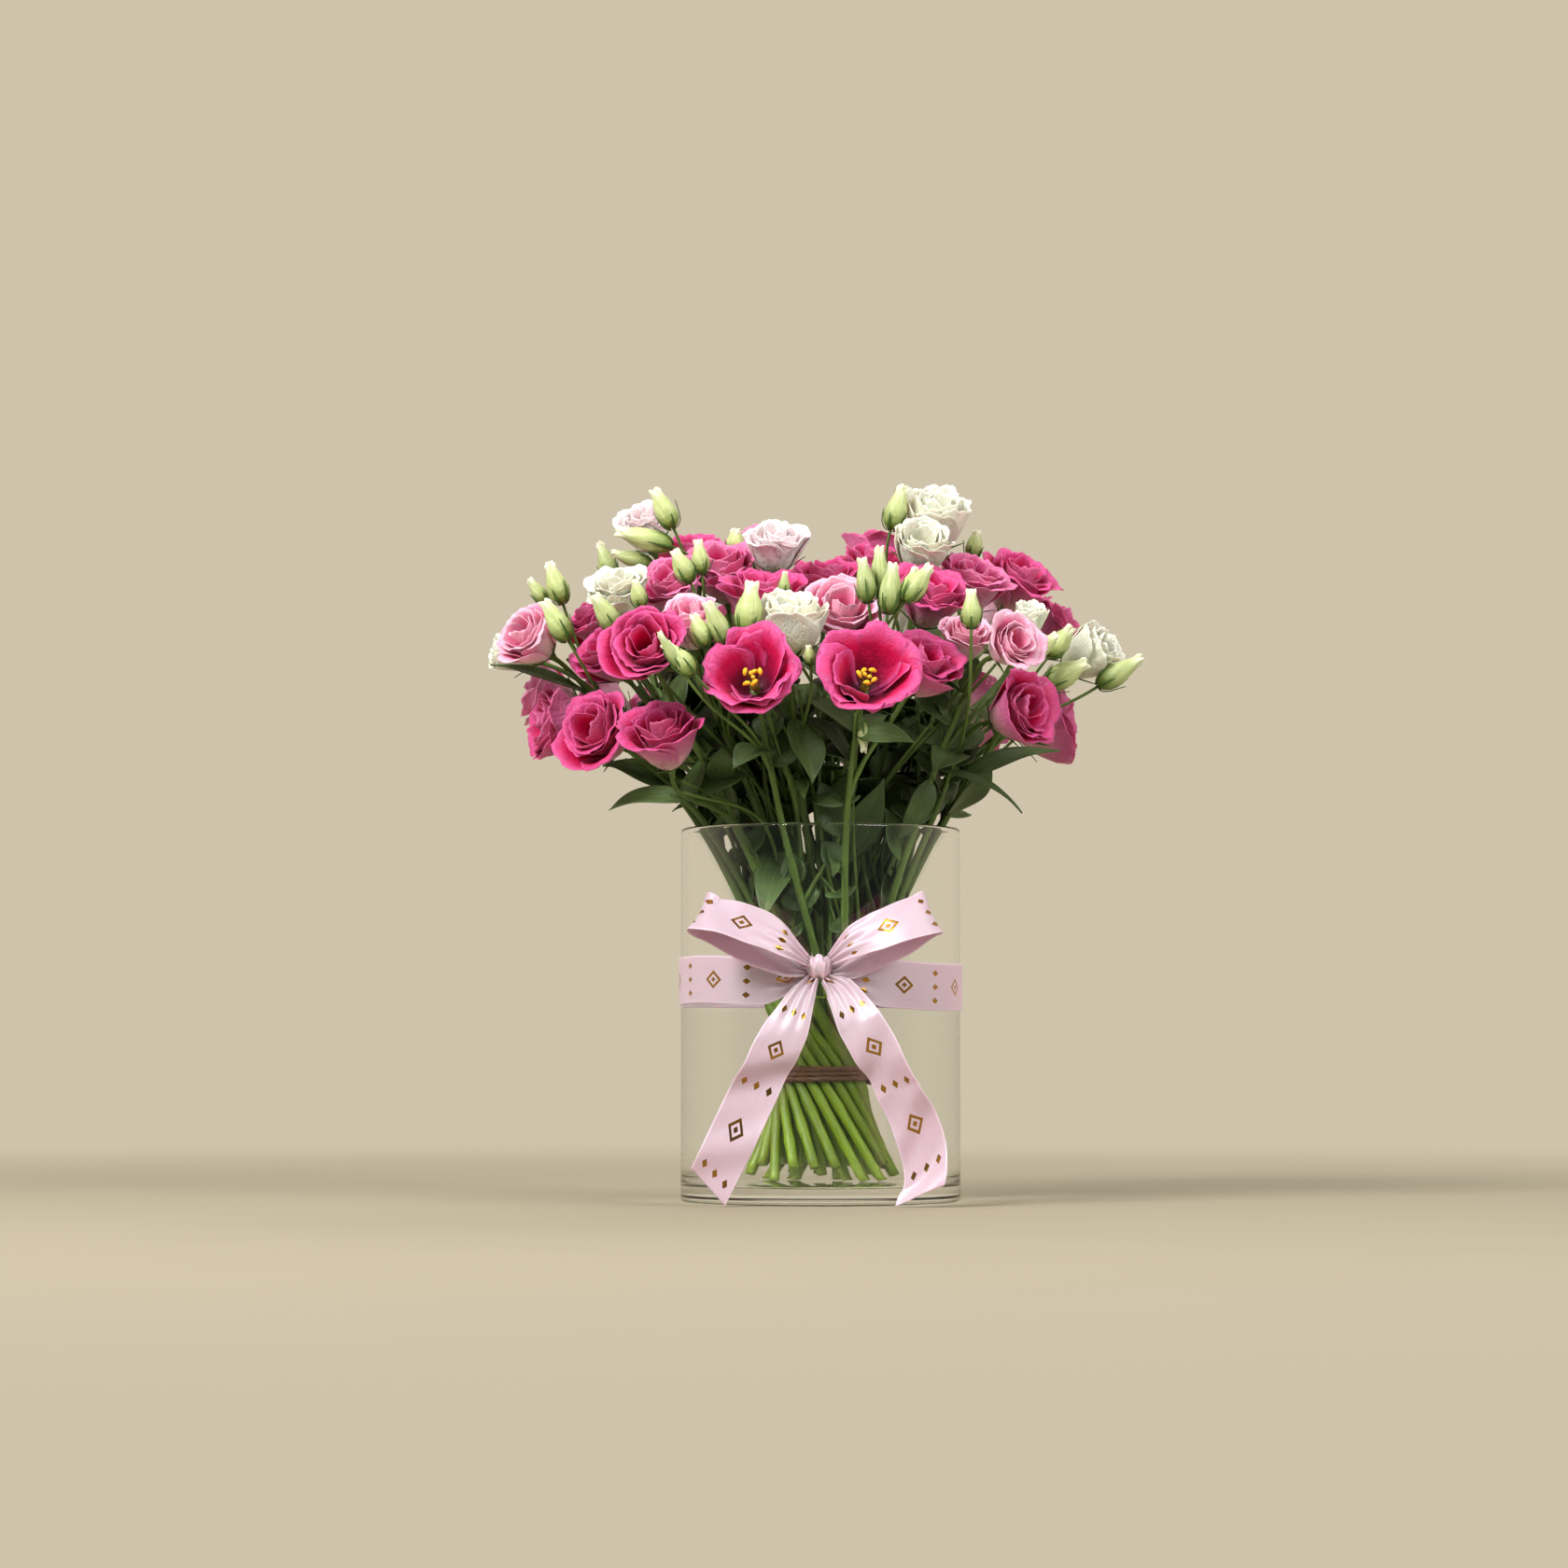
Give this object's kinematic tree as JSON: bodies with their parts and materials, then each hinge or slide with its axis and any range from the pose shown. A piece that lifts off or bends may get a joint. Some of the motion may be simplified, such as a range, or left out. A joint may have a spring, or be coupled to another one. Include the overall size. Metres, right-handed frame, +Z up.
{
  "type": "lisianthus bouquet in a glass cylinder vase",
  "caption": "Hand-tied lisianthus bouquet in pinks and white, standing in a clear glass cylinder vase with water and a satin ribbon bow.",
  "frame": {"origin": "middle of the underside of the vase, on the surface that it stands on", "axes": "+Z up along the vase's axis, front with the bow towards -Y, +X to the right seen from the front"},
  "size_m": [0.3533, 0.2908, 0.3885],
  "materials": {
    "glass": "polished",
    "water": "polished",
    "greenery": "satin",
    "twine": "matte",
    "satin": "satin",
    "stamens": "matte",
    "petals_hot_pink": "matte",
    "petals_rose_pink": "matte",
    "petals_light_pink": "matte",
    "petals_pale_pink": "matte",
    "petals_white": "matte"
  },
  "bodies": {
    "root": {"bloom_arc_left": "petals_hot_pink", "bloom_back_1_1": "petals_hot_pink", "bloom_back_1_2": "petals_hot_pink", "bloom_back_1_3": "petals_rose_pink", "bloom_back_1_4": "petals_hot_pink", "bloom_back_1_5": "petals_hot_pink", "bloom_back_1_6": "petals_rose_pink", "bloom_back_2_1": "petals_light_pink", "bloom_back_2_2": "petals_white", "bloom_back_2_3": "petals_hot_pink", "bloom_back_2_4": "petals_light_pink", "bloom_back_3_1": "petals_hot_pink", "bloom_back_3_2": "petals_rose_pink", "bloom_behind_open_right": "petals_hot_pink", "bloom_left_back": "petals_rose_pink", "bloom_left_end": "petals_hot_pink", "bloom_left_high": "petals_hot_pink", "bloom_left_mid": "petals_hot_pink", "bloom_left_swirl": "petals_hot_pink", "bloom_light_left": "petals_light_pink", "bloom_light_mid": "petals_light_pink", "bloom_light_mid_left": "petals_light_pink", "bloom_light_right": "petals_light_pink", "bloom_light_right_back": "petals_light_pink", "bloom_low_left": "petals_hot_pink", "bloom_low_right": "petals_hot_pink", "bloom_lower_left": "petals_hot_pink", "bloom_open_left": "petals_hot_pink", "bloom_open_right": "petals_hot_pink", "bloom_pale_top": "petals_pale_pink", "bloom_pale_top_left": "petals_pale_pink", "bloom_pink_top_left": "petals_rose_pink", "bloom_right_far": "petals_hot_pink", "bloom_right_inner": "petals_rose_pink", "bloom_right_mid": "petals_hot_pink", "bloom_right_top": "petals_hot_pink", "bloom_top_mid": "petals_hot_pink", "bloom_top_rose": "petals_rose_pink", "bloom_white_far_left": "petals_white", "bloom_white_left": "petals_white", "bloom_white_mid": "petals_white", "bloom_white_right": "petals_white", "bloom_white_right_bud": "petals_white", "bloom_white_top": "petals_white", "bloom_white_top_low": "petals_white", "bloom_wide_mid": "petals_hot_pink", "bloom_wide_top": "petals_hot_pink", "bow_knot": "satin", "bow_loop_left": "satin", "bow_loop_right": "satin", "bow_tail_left": "satin", "bow_tail_right": "satin", "ribbon_band": "satin", "stamens_open_left": "stamens", "stamens_open_right": "stamens", "stems": "greenery", "twine": "twine", "vase": "glass", "water": "water"}
  },
  "joints": []
}
